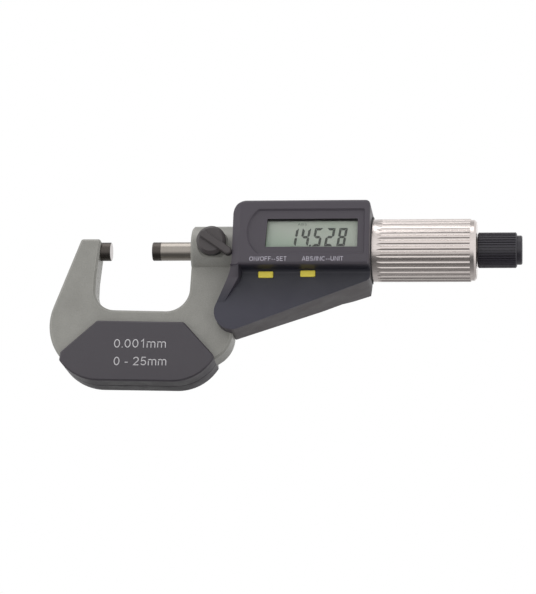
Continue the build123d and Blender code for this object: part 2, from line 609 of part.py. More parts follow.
with BuildPart() as rear_housing:
    add(housing_outer.part)
    add(rear_cavity.part, mode=Mode.SUBTRACT)
    block((0, HOUSING_LEFT), (-FAR, FAR), (-FAR, FAR), mode=Mode.SUBTRACT)
    block((0, 120), (-FAR, PART_Y + PART_GAP), (PART_Z - PART_GAP, FAR), mode=Mode.SUBTRACT)
    block((0, 120), (-FAR, WING_PART_Y + PART_GAP), (-FAR, FAR), mode=Mode.SUBTRACT)
    along_y(CELL[0], CELL[1], -1.4, WING_REAR_Y - WALL, CAP_HOLE_R + 0.8)
    along_y(CELL[0], CELL[1], -2, CAP_SEAT_Y, POCKET_R, mode=Mode.SUBTRACT)
    along_y(CELL[0], CELL[1], CAP_SEAT_Y, WING_REAR_Y + 1, CAP_HOLE_R, mode=Mode.SUBTRACT)
    for x, z in HOUSING_SCREWS:
        along_y(x, z, -1.95, WING_REAR_Y - WALL, 1.9)
        along_y(x, z, -3, WING_REAR_Y + 1, SCREW_R + 0.1, mode=Mode.SUBTRACT)
        along_y(x, z, WING_REAR_Y - 1.2, WING_REAR_Y + 1, SCREW_HEAD_R + 0.1, mode=Mode.SUBTRACT)
    through_holes()
save(rear_housing, "rear_housing")

with BuildPart() as housing_screws:
    for x, z in HOUSING_SCREWS:
        along_y(x, z, WING_PART_Y + 1.5, WING_REAR_Y - 0.2, SCREW_R - 0.02)
        along_y(x, z, WING_REAR_Y - 1.2, WING_REAR_Y - 0.1, SCREW_HEAD_R)
        with Locations((x, WING_REAR_Y, z)):
            Box(2.2, 1.2, 0.5, mode=Mode.SUBTRACT)
            Box(0.5, 1.2, 2.2, mode=Mode.SUBTRACT)
save(housing_screws, "housing_screws")

with BuildPart() as frame_screws:
    for x, z in FRAME_SCREWS:
        along_y(x, z, WING_Y + 2.2, FRAME_T / 2 - 0.4, SCREW_R - 0.02)
        along_y(x, z, FRAME_T / 2 - 1.2, FRAME_T / 2 - 0.2, SCREW_HEAD_R)
        with Locations((x, FRAME_T / 2, z)):
            Box(2.2, 1.2, 0.5, mode=Mode.SUBTRACT)
            Box(0.5, 1.2, 2.2, mode=Mode.SUBTRACT)
save(frame_screws, "frame_screws")

with BuildPart() as thimble_wiper:
    turned(HOUSING_RIGHT - WIPER[0], HOUSING_RIGHT + WIPER[1], THIMBLE_HOLE_R)
    turned(HOUSING_RIGHT - WIPER[0], HOUSING_RIGHT + WIPER[1], WIPER[2], mode=Mode.SUBTRACT)
    split(bisect_by=leaning_end(HOUSING_RIGHT + WIPER[1]), keep=Keep.TOP)
save(thimble_wiper, "thimble_wiper")

# ---- display: clear window, glass, two conductive strips and a board, from the front back ----
window_y = DISPLAY_Y + WALL + BEZEL_T
glass_y = window_y + WINDOW_T + 0.05
strip_y = glass_y + GLASS_T
board_y = strip_y + STRIP_T
with BuildPart() as display_window:
    block((54.3, 86.7), (window_y, window_y + WINDOW_T), (-3.7, 7.8))
save(display_window, "display_window")

with BuildPart() as display_glass:
    block((54.5, 86.9), (glass_y, strip_y), (-4.4, 8.6))
save(display_glass, "display_glass")

for name, z in (("upper_contact_strip", 7.8), ("lower_contact_strip", -3.6)):
    with BuildPart() as contact_strip:
        block((56, 85.4), (strip_y, board_y), (z - 0.6, z + 0.6))
    save(contact_strip, name)

with BuildPart() as display_board:
    block((52.0, 88.0), (board_y, board_y + BOARD_T), (-7.0, 10.8))
save(display_board, "display_board")

with BuildPart() as main_board:
    with BuildSketch(Plane.XZ.offset(-MAIN_BOARD_Y[0])):
        Polygon((46.4, -10.2), (46.4, -24.5), (50.0, -26.0), (76.0, -16.2), (76.0, -10.2), align=None)
        for x, z in HOUSING_SCREWS:
            with Locations((x, z)):
                Circle(2.2, mode=Mode.SUBTRACT)
    extrude(amount=MAIN_BOARD_Y[0] - MAIN_BOARD_Y[1])
save(main_board, "main_board")

with BuildPart() as board_cable:
    with BuildSketch(Plane.YZ.offset(53)):
        with BuildLine():
            Polyline((board_y + 0.15, -7.0), (-8.0, -7.9), (MAIN_BOARD_Y[0] + 0.1, -10.15))
        trace(line_width=0.2)
    extrude(amount=7)
    add(display_board.part, mode=Mode.SUBTRACT)
    add(main_board.part, mode=Mode.SUBTRACT)
save(board_cable, "board_cable")

# ---- keys ----
for name, (x, z) in zip(("on_off_button", "units_button"), BUTTON_PLACES):
    with BuildPart() as button:
        with BuildSketch(Plane.XZ.offset(-WING_Y + BUTTON_PROUD)):
            with Locations((x, z)):
                RectangleRounded(BUTTON[0], BUTTON[1], 0.4)
        extrude(amount=WING_Y - BUTTON_PROUD - BUTTON_FLANGE_Y[1])
        chamfer(button.faces().sort_by(Axis.Y)[0].edges(), 0.2)
        block((x - 3.1, x + 3.1), BUTTON_FLANGE_Y, (z - 1.6, z + 1.6))
    save(button, name)

with BuildPart() as button_pad:
    block((50.5, 73.0), (MAIN_BOARD_Y[0] - 0.3, MAIN_BOARD_Y[0]), (-14.0, -10.3))
    for x, z in BUTTON_PLACES:
        with Locations(Plane((x, MAIN_BOARD_Y[0] - 0.3, z - 0.6), x_dir=(1, 0, 0), z_dir=(0, -1, 0))):
            Cone(1.3, 0.8, 0.6, align=BASE)
    along_y(63.5, -17.5, -8, -6, 2.2, mode=Mode.SUBTRACT)
save(button_pad, "button_pad")

# ---- battery ----
with BuildPart() as battery:
    along_y(CELL[0], CELL[1], CELL_Y[0], CELL_Y[0] + 0.6, CELL[2] - 0.9)
    along_y(CELL[0], CELL[1], CELL_Y[0] + 0.6, CELL_Y[1], CELL[2])
    chamfer(battery.faces().sort_by(Axis.Y)[-1].edges(), 0.3)
save(battery, "battery")

with BuildPart() as negative_contact:
    along_y(CELL[0], CELL[1], CELL_Y[0] - 0.25, CELL_Y[0], 3.0)
    block((CELL[0] - 0.8, CELL[0] + 0.8), (MAIN_BOARD_Y[1], CELL_Y[0]), (CELL[1] - 0.12, CELL[1] + 0.12))
save(negative_contact, "negative_contact")

with BuildPart() as positive_contact:
    block((CELL[0] - 0.8, CELL[0] + 0.8), (MAIN_BOARD_Y[1], -1.5), (-25.4, -25.16))
save(positive_contact, "positive_contact")

with BuildPart() as battery_cap:
    along_y(CELL[0], CELL[1], CAP_Y[0], CAP_Y[1], CAP_R)
    chamfer(battery_cap.faces().sort_by(Axis.Y)[-1].edges(), 0.3)
    with BuildSketch(Plane((CELL[0], CAP_Y[1], CELL[1]), x_dir=(1, 0, 0), z_dir=(0, 1, 0))):
        SlotOverall(10.0, 1.6)
    extrude(amount=-0.8, mode=Mode.SUBTRACT)
save(battery_cap, "battery_cap")

with BuildPart() as cap_seal:
    with BuildSketch(Plane.XY):
        with Locations((6.2, CAP_SEAT_Y + 0.26)):
            Circle(0.25)
    revolve(axis=Axis.Y)
    seal_at = Location((CELL[0], 0, CELL[1]))
    cap_seal.part = cap_seal.part.moved(seal_at)
save(cap_seal, "cap_seal")
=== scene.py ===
import json
import math

import bmesh
import bpy
from mathutils import Matrix, Vector


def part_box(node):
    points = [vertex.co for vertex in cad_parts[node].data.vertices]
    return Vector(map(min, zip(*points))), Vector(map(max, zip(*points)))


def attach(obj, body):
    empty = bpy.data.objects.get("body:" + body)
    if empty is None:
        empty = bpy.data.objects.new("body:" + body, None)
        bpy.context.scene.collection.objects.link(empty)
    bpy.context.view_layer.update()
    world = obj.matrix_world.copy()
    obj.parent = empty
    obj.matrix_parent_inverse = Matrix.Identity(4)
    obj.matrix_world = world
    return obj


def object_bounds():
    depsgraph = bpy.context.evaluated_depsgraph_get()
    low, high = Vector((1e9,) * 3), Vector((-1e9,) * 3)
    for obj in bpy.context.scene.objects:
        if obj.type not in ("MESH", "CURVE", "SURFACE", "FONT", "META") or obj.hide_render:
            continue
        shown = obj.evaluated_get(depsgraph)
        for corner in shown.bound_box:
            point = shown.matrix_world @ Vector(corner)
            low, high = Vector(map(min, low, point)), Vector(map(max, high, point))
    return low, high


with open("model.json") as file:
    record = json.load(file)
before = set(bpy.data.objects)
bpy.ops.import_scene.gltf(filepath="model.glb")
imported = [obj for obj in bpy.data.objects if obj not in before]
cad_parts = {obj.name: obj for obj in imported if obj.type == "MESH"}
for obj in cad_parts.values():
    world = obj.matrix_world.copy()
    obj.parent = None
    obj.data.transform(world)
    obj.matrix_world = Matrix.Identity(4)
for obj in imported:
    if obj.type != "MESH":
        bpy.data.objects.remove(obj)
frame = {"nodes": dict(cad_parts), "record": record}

cad_low, cad_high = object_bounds()
nodes = frame["nodes"]
mm = 0.001


# ---- shader helpers ----
def new_material(name):
    """A material with its node tree, its Principled shader and object-space position."""
    material = bpy.data.materials.new(name)
    material.use_nodes = True
    tree = material.node_tree
    shader = tree.nodes["Principled BSDF"]
    place = tree.nodes.new("ShaderNodeTexCoord").outputs["Object"]
    return material, tree, shader, place


def srgb(r, g, b):
    """A linear colour from an 8-bit display colour."""
    def one(v):
        v /= 255
        return v / 12.92 if v <= 0.04045 else ((v + 0.055) / 1.055) ** 2.4
    return (one(r), one(g), one(b), 1.0)


def scaled(colour, factor):
    """A colour made paler or darker by a factor."""
    return tuple(min(1.0, c * factor) for c in colour[:3]) + (1.0,)


def split(tree, vector):
    """The X, Y and Z of a vector socket, as outputs."""
    axes = tree.nodes.new("ShaderNodeSeparateXYZ")
    tree.links.new(vector, axes.inputs["Vector"])
    return axes.outputs


def combine(tree, kind, *values):
    """Several value sockets joined two at a time by a maths operation."""
    out = values[0]
    for value in values[1:]:
        node = tree.nodes.new("ShaderNodeMath")
        node.operation = kind
        tree.links.new(out, node.inputs[0])
        tree.links.new(value, node.inputs[1])
        out = node.outputs[0]
    return out


def noise(tree, place, size, detail=4.0, rough=0.6, stretch=(1, 1, 1)):
    """Noise whose features are about size metres across, stretched along each axis by stretch."""
    mapping = tree.nodes.new("ShaderNodeMapping")
    mapping.inputs["Scale"].default_value = [1 / s for s in stretch]
    tree.links.new(place, mapping.inputs["Vector"])
    node = tree.nodes.new("ShaderNodeTexNoise")
    node.inputs["Scale"].default_value = 1 / size
    node.inputs["Detail"].default_value = detail
    node.inputs["Roughness"].default_value = rough
    tree.links.new(mapping.outputs["Vector"], node.inputs["Vector"])
    return node.outputs["Fac"]


def ramp(tree, value, low, high, at=(0.3, 0.7)):
    """A colour between low and high, following value between the two stops."""
    node = tree.nodes.new("ShaderNodeValToRGB")
    node.color_ramp.elements[0].position = at[0]
    node.color_ramp.elements[1].position = at[1]
    node.color_ramp.elements[0].color = low
    node.color_ramp.elements[1].color = high
    tree.links.new(value, node.inputs["Fac"])
    return node.outputs["Color"]


def remap(tree, value, low, high, out_low, out_high, smooth=False):
    """A value carried from the range low..high to out_low..out_high and held at its ends."""
    node = tree.nodes.new("ShaderNodeMapRange")
    node.interpolation_type = "SMOOTHSTEP" if smooth else "LINEAR"
    ends = {"From Min": low, "From Max": high, "To Min": out_low, "To Max": out_high}
    for name, number in ends.items():
        node.inputs[name].default_value = number
    tree.links.new(value, node.inputs["Value"])
    return node.outputs["Result"]


def mix(tree, amount, a, b):
    """Two colours mixed; each of amount, a and b is a socket or a plain value."""
    node = tree.nodes.new("ShaderNodeMix")
    node.data_type = "RGBA"
    for socket, value in ((node.inputs[0], amount), (node.inputs[6], a), (node.inputs[7], b)):
        if isinstance(value, bpy.types.NodeSocket):
            tree.links.new(value, socket)
        else:
            socket.default_value = value
    return node.outputs[2]


def bump(tree, shader, height, depth, strength=1.0):
    """Bump of the given depth in metres."""
    node = tree.nodes.new("ShaderNodeBump")
    node.inputs["Distance"].default_value = depth
    node.inputs["Strength"].default_value = strength
    tree.links.new(height, node.inputs["Height"])
    tree.links.new(node.outputs["Normal"], shader.inputs["Normal"])


def edge_wear(tree):
    """About 1 on edges and 0 on flats."""
    node = tree.nodes.new("ShaderNodeBevel")
    node.samples = 4
    node.inputs["Radius"].default_value = WEAR_WIDTH
    geometry = tree.nodes.new("ShaderNodeNewGeometry")
    dot = tree.nodes.new("ShaderNodeVectorMath")
    dot.operation = "DOT_PRODUCT"
    tree.links.new(node.outputs["Normal"], dot.inputs[0])
    tree.links.new(geometry.outputs["Normal"], dot.inputs[1])
    return remap(tree, dot.outputs["Value"], 0.995, 0.9, 0.0, 1.0)


# ---- materials ----
WEAR_WIDTH = 0.25 * mm
MOULD_DEPTH = 0.02 * mm
SCRATCH_DEPTH = 0.004 * mm
DIMPLE_DEPTH = 0.06 * mm


def moulded(name, colour, grain=0.16 * mm, rough=(0.42, 0.55), worn=1.25):
    """Moulded plastic with a fine spark-eroded grain, cloudy colour and paler edges."""
    material, tree, shader, place = new_material(name)
    base = srgb(*colour)
    cloud = noise(tree, place, 6 * mm, detail=3)
    clouded = ramp(tree, cloud, scaled(base, 0.93), base)
    clouded = mix(tree, edge_wear(tree), clouded, scaled(base, worn))
    tree.links.new(clouded, shader.inputs["Base Color"])
    tree.links.new(remap(tree, cloud, 0.3, 0.7, *rough), shader.inputs["Roughness"])
    bump(tree, shader, noise(tree, place, grain, detail=3, rough=0.7), MOULD_DEPTH)
    return material, tree, shader, place


def ground_metal(name, colour, rough=(0.22, 0.34), stretch=(0.06, 3, 3), size=0.8 * mm):
    """Ground metal with small changes in polish.

    The scratches are fine rings round the spindle axis, unless stretch lays them another way.
    """
    material, tree, shader, place = new_material(name)
    shader.inputs["Metallic"].default_value = 1.0
    base = srgb(*colour)
    scratches = noise(tree, place, size, stretch=stretch)
    tree.links.new(ramp(tree, scratches, scaled(base, 0.85), base), shader.inputs["Base Color"])
    tree.links.new(remap(tree, scratches, 0.3, 0.7, *rough), shader.inputs["Roughness"])
    bump(tree, shader, scratches, SCRATCH_DEPTH)
    return material


def hard_tip():
    """Hard metal: dark and dull round the side; the flat end is lapped smooth and its colour is painted
    much paler, a painted reflection.
    """
    material, tree, shader, place = new_material("carbide")
    shader.inputs["Metallic"].default_value = 1.0
    grain = noise(tree, place, 0.5 * mm, detail=3, stretch=(0.1, 2, 2))
    facing = split(tree, tree.nodes.new("ShaderNodeNewGeometry").outputs["Normal"])
    along = tree.nodes.new("ShaderNodeMath")
    along.operation = "ABSOLUTE"
    tree.links.new(facing["X"], along.inputs[0])
    # painted reflection: the end face gets a much paler colour; its lower roughness is the real lapped
    # finish
    end = remap(tree, along.outputs[0], 0.8, 0.95, 0.0, 1.0)
    side = ramp(tree, grain, srgb(72, 68, 65), srgb(92, 87, 83))
    tree.links.new(mix(tree, end, side, srgb(160, 152, 150)), shader.inputs["Base Color"])
    ground = remap(tree, grain, 0.3, 0.7, 0.36, 0.46)
    lapped = (0.16, 0.16, 0.16, 1)
    tree.links.new(mix(tree, end, ground, lapped), shader.inputs["Roughness"])
    bump(tree, shader, grain, SCRATCH_DEPTH)
    return material


def hammered_paint():
    """Grey enamel over a cast frame: small soft dimples, metallic flecks, edges a little paler."""
    material, tree, shader, place = new_material("cast_paint")
    dimples = noise(tree, place, 0.45 * mm, detail=2, rough=0.5)
    flecks = noise(tree, place, 0.18 * mm, detail=1)
    cloud = noise(tree, place, 9 * mm, detail=3)
    base = ramp(tree, cloud, srgb(135, 134, 129), srgb(146, 145, 140))
    base = mix(tree, remap(tree, flecks, 0.52, 0.72, 0.0, 0.5), base, srgb(172, 170, 164))
    base = mix(tree, remap(tree, dimples, 0.30, 0.50, 0.28, 0.0), base, srgb(112, 112, 106))
    tree.links.new(mix(tree, edge_wear(tree), base, srgb(168, 166, 160)), shader.inputs["Base Color"])
    shader.inputs["Metallic"].default_value = 0.15
    tree.links.new(remap(tree, dimples, 0.3, 0.7, 0.34, 0.5), shader.inputs["Roughness"])
    bump(tree, shader, dimples, DIMPLE_DEPTH, 0.8)
    return material


def lock_moulding_painted_shade():
    """The lock's moulding: dark grey on the front faces; the sides and the back are painted nearly black, a
    painted shade.
    """
    material, tree, shader, _ = moulded("lever_black", (64, 59, 60), rough=(0.32, 0.42))
    facing = split(tree, tree.nodes.new("ShaderNodeNewGeometry").outputs["Normal"])
    # painted shade: faces turned away from the front are darkened to nearly black
    side = remap(tree, facing["Y"], -0.75, -0.35, 0.0, 1.0)
    usual = shader.inputs["Base Color"].links[0].from_socket
    tree.links.new(mix(tree, side, usual, srgb(32, 29, 31)), shader.inputs["Base Color"])
    return material


def front_moulding_painted_shade():
    """The front housing's moulding, with painted shade: darker and bluer on the wing, darkest just under
    the step, and nearly black inside the display opening.

    The wing is what lies below the step and in front, apart from the ridge at its left.
    """
    material, tree, shader, place = moulded("front_moulding_painted_shade", (69, 64, 72))
    axes = split(tree, place)

    def band(axis, start, end):
        """0 before start and 1 past end, along an axis in millimetres."""
        return remap(tree, axes[axis], start * mm, end * mm, 0.0, 1.0, smooth=True)

    def inside(axis, start, end, fade):
        """Two values that are 1 between start and end: one falls to 0 before them, one past them."""
        return band(axis, start - fade, start), band(axis, end + fade, end)

    off_ridge = combine(
        tree, "MAXIMUM", band("X", 44.6, 47.6), band("Y", -10.4, -9.82), band("Z", -12.0, -21.0)
    )
    wing = combine(tree, "MULTIPLY", band("Z", -9.0, -9.5), band("Y", -9.2, -9.5), off_ridge)
    # painted shade: the wing is darkened as if under the step's overhang, darkest just below the step and
    # lighter lower down
    wing_shade_colour = ramp(tree, band("Z", -11.0, -26.0), srgb(33, 33, 43), srgb(53, 52, 64), at=(0, 1))
    usual = shader.inputs["Base Color"].links[0].from_socket
    colour = mix(tree, wing, usual, wing_shade_colour)
    # painted shade: the surfaces inside the display opening, behind the front face, are painted nearly
    # black
    behind_face = band("Y", -14.7, -14.5)
    across = inside("X", 54.2, 86.4, 0.2)
    upward = inside("Z", -3.6, 7.5, 0.1)
    opening = combine(tree, "MULTIPLY", behind_face, *across, *upward)
    tree.links.new(mix(tree, opening, colour, srgb(22, 21, 24)), shader.inputs["Base Color"])
    return material


def display_face():
    """Liquid crystal glass: grey-green, greener and darker low on the left."""
    material, tree, shader, place = new_material("display_face")
    low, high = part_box("display_window")
    axes = split(tree, place)
    across = remap(tree, axes["X"], low[0], high[0], 0.0, 1.0)
    upward = remap(tree, axes["Z"], low[2], high[2], 0.0, 1.0)
    cells = noise(tree, place, 0.2 * mm, detail=1)
    slope = combine(tree, "ADD", across, upward)
    colour = ramp(tree, slope, srgb(156, 172, 158), srgb(178, 184, 174), at=(0.1, 0.9))
    colour = mix(tree, remap(tree, cells, 0.3, 0.7, 0.0, 0.06), colour, srgb(120, 130, 120))
    tree.links.new(colour, shader.inputs["Base Color"])
    tree.links.new(remap(tree, cells, 0.3, 0.7, 0.3, 0.4), shader.inputs["Roughness"])
    return material


def clear_window():
    """Clear plastic of a low index, with a faint smear."""
    material, tree, shader, place = new_material("clear_window")
    smear = noise(tree, place, 4 * mm, detail=2)
    tree.links.new(ramp(tree, smear, (0.96, 0.98, 0.96, 1), (1, 1, 1, 1)), shader.inputs["Base Color"])
    tree.links.new(remap(tree, smear, 0.3, 0.7, 0.02, 0.06), shader.inputs["Roughness"])
    shader.inputs["Transmission Weight"].default_value = 1.0
    shader.inputs["IOR"].default_value = 1.15
    return material


def printed(name, colour):
    """Screen-printed ink, slightly uneven; the same look also serves the painted shadow strip along the
    display window.
    """
    material, tree, shader, place = new_material(name)
    thin = noise(tree, place, 0.4 * mm, detail=2)
    base = srgb(*colour)
    tree.links.new(ramp(tree, thin, scaled(base, 0.85), base), shader.inputs["Base Color"])
    tree.links.new(remap(tree, thin, 0.3, 0.7, 0.5, 0.65), shader.inputs["Roughness"])
    return material


materials = {
    "cast_paint": hammered_paint(),
    "carbide": hard_tip(),
    "ground_steel": ground_metal("ground_steel", (160, 154, 147), rough=(0.26, 0.36)),
    "satin_steel": ground_metal(
        "satin_steel", (222, 213, 209), rough=(0.20, 0.28), stretch=(6, 0.5, 0.5), size=0.6 * mm
    ),
    "dark_moulding": moulded("dark_moulding", (72, 67, 69))[0],
    "front_moulding_painted_shade": front_moulding_painted_shade(),
    "grip_moulding": moulded("grip_moulding", (66, 62, 68), grain=0.2 * mm)[0],
    "knob_black": moulded("knob_black", (42, 39, 47), rough=(0.30, 0.40))[0],
    "lever_black": lock_moulding_painted_shade(),
    "key_yellow": moulded("key_yellow", (232, 214, 82), worn=1.1)[0],
    "clear_window": clear_window(),
    "display_grey": display_face(),
    "board_green": moulded("board_green", (30, 92, 56))[0],
    "rubber_dark": moulded("rubber_dark", (44, 44, 45), rough=(0.6, 0.8))[0],
    "brass_part": ground_metal("brass_part", (190, 160, 96)),
    "cell_steel": ground_metal("cell_steel", (210, 210, 212)),
    "dark_screw": ground_metal("dark_screw", (92, 90, 92), stretch=(1, 1, 1)),
}
slot_of = {s["node"]: s["material_slot"] for s in frame["record"]["subparts"]}
for name, node in nodes.items():
    chosen = "front_moulding_painted_shade" if name == "front_housing" else slot_of[name]
    node.data.materials.clear()
    node.data.materials.append(materials[chosen])


# ---- flat lettering and display segments ----
GAP = 0.15
INK = 0.012 * mm
TINY = 1e-9
ARC_STEP_DEG = 18


def flat_piece(name, mesh, material, body):
    """A new piece of the object that rides a body."""
    piece = bpy.data.objects.new(name, mesh)
    bpy.context.scene.collection.objects.link(piece)
    mesh.materials.append(material)
    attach(piece, body)


def bow(x, y, across, upward, start, end):
    """Points along an elliptical arc, from the start angle to the end angle in degrees."""
    steps = max(4, int(abs(end - start) / ARC_STEP_DEG))
    turns = [math.radians(start + (end - start) * i / steps) for i in range(steps + 1)]
    return [(x + across * math.cos(t), y + upward * math.sin(t)) for t in turns]


# Each letter: its width, then its strokes, for capitals of height 1.
ARCH = [(0.06, 0.50), *bow(0.245, 0.50, 0.185, 0.185, 180, 0), (0.43, 0)]
GLYPHS = {
    " ": (0.20, []),
    ".": (0.12, [[(0.06, 0), (0.06, 0.12)]]),
    "-": (0.34, [[(0.02, 0.36), (0.32, 0.36)]]),
    "/": (0.30, [[(0.02, 0), (0.28, 1)]]),
    "0": (0.60, [bow(0.30, 0.5, 0.245, 0.445, 0, 360)]),
    "1": (0.48, [[(0.10, 0.74), (0.24, 0.84), (0.33, 0.99), (0.33, 0)]]),
    "2": (0.60, [[*bow(0.30, 0.68, 0.235, 0.265, 170, -30), (0.07, 0.055), (0.57, 0.055)]]),
    "5": (0.60, [[(0.53, 0.945), (0.16, 0.945), *bow(0.29, 0.32, 0.25, 0.265, 145, -155)]]),
    "m": (0.86, [[(0.06, 0.72), (0.06, 0)], ARCH, [(x + 0.37, y) for x, y in ARCH]]),
    "A": (0.72, [[(0.03, 0), (0.36, 1), (0.69, 0)], [(0.15, 0.34), (0.57, 0.34)]]),
    "B": (0.64, [
        [(0.06, 0.53), (0.06, 0.945), (0.34, 0.945), *bow(0.34, 0.74, 0.19, 0.205, 90, -90), (0.06, 0.535)],
        [(0.06, 0.53), (0.06, 0.055), (0.36, 0.055), *bow(0.36, 0.29, 0.22, 0.24, -90, 90)],
    ]),
    "C": (0.76, [bow(0.41, 0.5, 0.35, 0.445, 48, 312)]),
    "E": (0.64, [
        [(0.60, 0.945), (0.06, 0.945), (0.06, 0.055), (0.62, 0.055)],
        [(0.06, 0.52), (0.56, 0.52)],
    ]),
    "F": (0.60, [[(0.06, 0), (0.06, 0.945), (0.57, 0.945)], [(0.06, 0.51), (0.50, 0.51)]]),
    "I": (0.12, [[(0.06, 0), (0.06, 1)]]),
    "N": (0.72, [[(0.06, 0), (0.06, 1), (0.66, 0), (0.66, 1)]]),
    "O": (0.84, [bow(0.42, 0.5, 0.365, 0.445, 0, 360)]),
    "S": (0.66, [[*bow(0.33, 0.73, 0.24, 0.215, 20, 250), *bow(0.33, 0.285, 0.26, 0.23, 70, -160)]]),
    "T": (0.62, [[(0.02, 0.945), (0.60, 0.945)], [(0.31, 0.945), (0.31, 0)]]),
    "U": (0.70, [[(0.06, 1), *bow(0.35, 0.345, 0.29, 0.29, 180, 360), (0.64, 1)]]),
}


def ribbon(build, points, half, lift):
    """A flat stroke of the given half width along points, standing lift in front of the face."""
    points = [p for i, p in enumerate(points) if not i or math.dist(p, points[i - 1]) > TINY]
    closed = math.dist(points[0], points[-1]) < TINY
    count = len(points)
    rows = []
    for i, (x, z) in enumerate(points):
        before = points[i - 1] if i else (points[-2] if closed else points[0])
        after = points[i + 1] if i + 1 < count else (points[1] if closed else points[-1])
        arriving = Vector((x, z)) - Vector(before)
        leaving = Vector(after) - Vector((x, z))
        ways = [way.normalized() for way in (arriving, leaving) if way.length > TINY]
        along = sum(ways, Vector((0, 0))).normalized()
        reach = half / max(0.5, abs(along.dot(ways[0])))
        side = Vector((-along.y, along.x)) * reach
        corners = ((1, lift), (-1, lift), (-1, 0), (1, 0))
        rows.append([build.verts.new((x + side.x * k, y, z + side.y * k)) for k, y in corners])
    for near, far in zip(rows, rows[1:]):
        for i in range(4):
            j = (i + 1) % 4
            build.faces.new((near[i], near[j], far[j], far[i]))
    if not closed:
        build.faces.new(rows[0])
        build.faces.new(list(reversed(rows[-1])))


def finished(name, build):
    """The mesh of a bmesh, which is freed."""
    mesh = bpy.data.meshes.new(name)
    build.to_mesh(mesh)
    build.free()
    return mesh


def lettering(name, words, left, right, base, cap, y, weight, material, body, slot):
    """Ink on a face at y, from left to right, standing on base with capitals of height cap."""
    widths = [GLYPHS[letter][0] for letter in words]
    spread = (right - left) / (sum(widths) + GAP * (len(words) - 1))
    build = bmesh.new()
    x = left
    for letter, width in zip(words, widths):
        for stroke in GLYPHS[letter][1]:
            placed = [(x + u * spread, base + v * cap) for u, v in stroke]
            ribbon(build, placed, weight * cap / 2, -INK)
        x += (width + GAP) * spread
    bmesh.ops.translate(build, verts=build.verts, vec=(0, y, 0))
    bmesh.ops.recalc_face_normals(build, faces=build.faces)
    flat_piece(name, finished(name, build), material, body)


ink = printed("pale_ink", (200, 196, 208))
plate_ink = printed("plate_ink", (205, 203, 206))
segment_ink = printed("segment_ink", (78, 80, 77))

display_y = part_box("front_housing")[0][1]
plate_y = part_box("front_grip_plate")[0][1]
key_label = {
    "base": -8.2 * mm,
    "cap": 1.5 * mm,
    "y": display_y,
    "weight": 0.105,
    "material": ink,
    "body": "frame",
    "slot": "key_yellow",
}
lettering("label_on_off", "ON/OFF--SET", 49.9 * mm, 62.4 * mm, **key_label)
lettering("label_units", "ABS/INC--UNIT", 67.6 * mm, 81.4 * mm, **key_label)

plate_label = {
    "cap": 2.95 * mm,
    "y": plate_y,
    "weight": 0.10,
    "material": plate_ink,
    "body": "frame",
    "slot": "satin_steel",
}
lettering("label_step", "0.001mm", 3.8 * mm, 21.6 * mm, -35.95 * mm, **plate_label)
lettering("label_range", "0 - 25mm", 4.0 * mm, 22.0 * mm, -42.1 * mm, **plate_label)

# ---- the reading: slanted seven-segment digits on the display glass ----
DIGIT_TALL = 6.4 * mm
DIGIT_WIDE = 2.85 * mm
DIGIT_PITCH = 4.12 * mm
LAST_DIGIT_X = 80.1 * mm
READING_BASE = -2.4 * mm
STROKE = 0.85 * mm
STROKE_GAP = 0.06 * mm
POINT = 0.6 * mm
POINT_SHIFT = 0.05 * mm
SLAB_FRONT = 0.02 * mm
SLAB_BACK = 0.001 * mm
SLANT = math.tan(math.radians(9))
SEGMENTS = {"1": "bc", "4": "fgbc", "5": "afgcd", "2": "abged", "8": "abcdefg"}


def segment_outline(which):
    """The corners of one segment, in a digit whose lower left corner is the origin."""
    middle = DIGIT_TALL / 2
    half = STROKE / 2
    if which in "adg":
        z = {"a": DIGIT_TALL - half, "g": middle, "d": half}[which]
        left = half + STROKE_GAP
        right = DIGIT_WIDE - half - STROKE_GAP
        if which == "g":
            above = [(left, z), (left + half, z + half), (right - half, z + half)]
            below = [(right, z), (right - half, z - half), (left + half, z - half)]
            return above + below
        outward = half if which == "a" else -half
        outer = [(left - half, z + outward), (right + half, z + outward)]
        inner = [(right - half, z - outward), (left + half, z - outward)]
        return outer + inner
    on_right = which in "bc"
    x = DIGIT_WIDE - half if on_right else half
    outward = half if on_right else -half
    if which in "bf":
        low, high = middle + STROKE_GAP, DIGIT_TALL - STROKE_GAP
        outer = [(x + outward, high), (x + outward, low + half)]
        inner = [(x, low), (x - outward, low + half), (x - outward, high - 2 * half)]
    else:
        low, high = STROKE_GAP, middle - STROKE_GAP
        outer = [(x + outward, high - half), (x + outward, low)]
        inner = [(x - outward, low + 2 * half), (x - outward, high - half), (x, high)]
    return outer + inner


def reading_mesh(text, y):
    """The digits of text on a face at y, laid from the last one to the first."""
    build = bmesh.new()
    x = LAST_DIGIT_X
    for mark in reversed(text):
        if mark == ".":
            corners = [(-POINT / 2, 0), (POINT / 2, 0), (POINT / 2, POINT), (-POINT / 2, POINT)]
            add_face(build, corners, x + DIGIT_PITCH / 2 + POINT_SHIFT, READING_BASE, y)
            continue
        for which in SEGMENTS[mark]:
            add_face(build, segment_outline(which), x - DIGIT_WIDE / 2, READING_BASE, y)
        x -= DIGIT_PITCH
    return finished("reading", build)


def add_face(build, corners, x, base, y):
    """A thin slab with the given outline, slanted as the digits are, a little in front of y."""
    front = [build.verts.new((x + u + v * SLANT, y - SLAB_FRONT, base + v)) for u, v in corners]
    back = [build.verts.new((x + u + v * SLANT, y - SLAB_BACK, base + v)) for u, v in corners]
    build.faces.new(front)
    build.faces.new(list(reversed(back)))
    for i in range(len(front)):
        j = (i + 1) % len(front)
        build.faces.new((front[j], front[i], back[i], back[j]))
    bmesh.ops.recalc_face_normals(build, faces=build.faces)


glass_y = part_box("display_glass")[0][1]
flat_piece("reading", reading_mesh("14.528", glass_y), segment_ink, "frame")
faint_ink = printed("faint_ink", (122, 128, 120))

